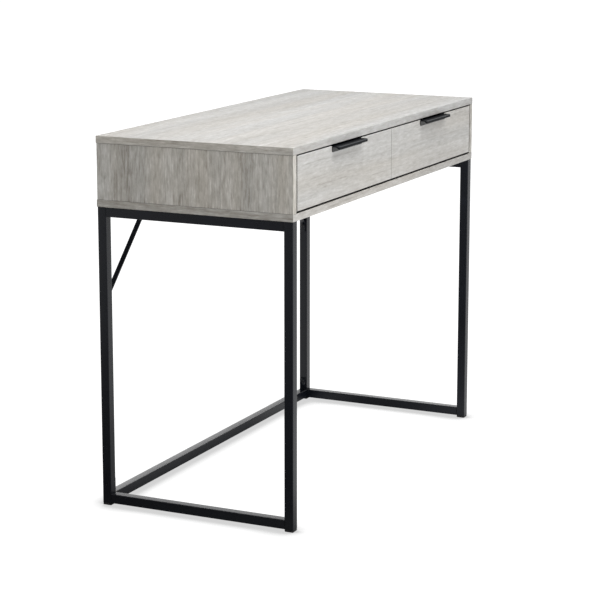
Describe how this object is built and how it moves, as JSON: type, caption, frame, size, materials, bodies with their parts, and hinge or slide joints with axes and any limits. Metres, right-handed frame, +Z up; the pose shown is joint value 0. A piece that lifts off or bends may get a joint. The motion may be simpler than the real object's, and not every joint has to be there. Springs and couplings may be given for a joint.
{
  "type": "writing desk with drawers",
  "caption": "Writing desk: a shallow grey oak cabinet with side-by-side drawers and black edge pulls on a black square-tube frame with a rear stretcher and corner braces.",
  "frame": {"origin": "on the floor, under the middle of the desk's outline including the edge pulls", "axes": "+X to the sitter's right along the desk's width, -Y towards the sitter, +Z up"},
  "size_m": [1, 0.466, 0.79],
  "materials": {
    "grey_oak": "satin grey oak laminate, grain printed and lightly embossed",
    "drawer_lining": "matt pale grey melamine",
    "hardboard": "matt pale grey painted hardboard",
    "black_frame": "satin black powder coat",
    "black_pull": "satin black",
    "black_plastic": "matt black",
    "slide_zinc": "zinc plated",
    "fastener": "black oxide"
  },
  "bodies": {
    "desk": {"top_panel": "grey_oak", "bottom_panel": "grey_oak", "side_panel_left": "grey_oak", "side_panel_right": "grey_oak", "back_panel": "grey_oak", "centre_divider": "grey_oak", "slide_left_outer_cabinet": "slide_zinc", "slide_left_inner_cabinet": "slide_zinc", "slide_right_outer_cabinet": "slide_zinc", "slide_right_inner_cabinet": "slide_zinc", "front_leg_left": "black_frame", "rear_leg_left": "black_frame", "top_rail_left": "black_frame", "bottom_rail_left": "black_frame", "front_leg_right": "black_frame", "rear_leg_right": "black_frame", "top_rail_right": "black_frame", "bottom_rail_right": "black_frame", "rear_stretcher": "black_frame", "brace_left": "black_frame", "brace_right": "black_frame", "foot_front_left": "black_plastic", "foot_rear_left": "black_plastic", "foot_front_right": "black_plastic", "foot_rear_right": "black_plastic", "cabinet_bolt_left_front": "fastener", "cabinet_bolt_left_rear": "fastener", "cabinet_bolt_right_front": "fastener", "cabinet_bolt_right_rear": "fastener", "stretcher_bolt_left": "fastener", "stretcher_bolt_right": "fastener", "brace_screw_left_leg": "fastener", "brace_screw_left_cabinet": "fastener", "brace_screw_right_leg": "fastener", "brace_screw_right_cabinet": "fastener"},
    "drawer_left": {"drawer_front_left": "grey_oak", "drawer_side_left_outer": "drawer_lining", "drawer_side_left_inner": "drawer_lining", "drawer_back_left": "drawer_lining", "drawer_floor_left": "hardboard", "pull_left": "black_pull", "pull_screw_left_1": "fastener", "pull_screw_left_2": "fastener", "slide_left_outer_drawer": "slide_zinc", "slide_left_inner_drawer": "slide_zinc"},
    "drawer_right": {"drawer_front_right": "grey_oak", "drawer_side_right_outer": "drawer_lining", "drawer_side_right_inner": "drawer_lining", "drawer_back_right": "drawer_lining", "drawer_floor_right": "hardboard", "pull_right": "black_pull", "pull_screw_right_1": "fastener", "pull_screw_right_2": "fastener", "slide_right_outer_drawer": "slide_zinc", "slide_right_inner_drawer": "slide_zinc"},
    "slide_middles_left": {"slide_left_outer_middle": "slide_zinc", "slide_left_inner_middle": "slide_zinc"},
    "slide_middles_right": {"slide_right_outer_middle": "slide_zinc", "slide_right_inner_middle": "slide_zinc"}
  },
  "joints": [
    {"name": "drawer_left_slide", "type": "slide", "parent": "desk", "child": "drawer_left", "axis": [0, -1, 0], "range_m": [0, 0.3]},
    {"name": "drawer_right_slide", "type": "slide", "parent": "desk", "child": "drawer_right", "axis": [0, -1, 0], "range_m": [0, 0.3]},
    {"name": "slide_middles_left_slide", "type": "slide", "parent": "desk", "child": "slide_middles_left", "axis": [0, -1, 0], "range_m": [0, 0.15]},
    {"name": "slide_middles_right_slide", "type": "slide", "parent": "desk", "child": "slide_middles_right", "axis": [0, -1, 0], "range_m": [0, 0.15]}
  ],
  "couplings": [
    {"joint": "slide_middles_left_slide", "follows": "drawer_left_slide", "ratio": 0.5},
    {"joint": "slide_middles_right_slide", "follows": "drawer_right_slide", "ratio": 0.5}
  ]
}
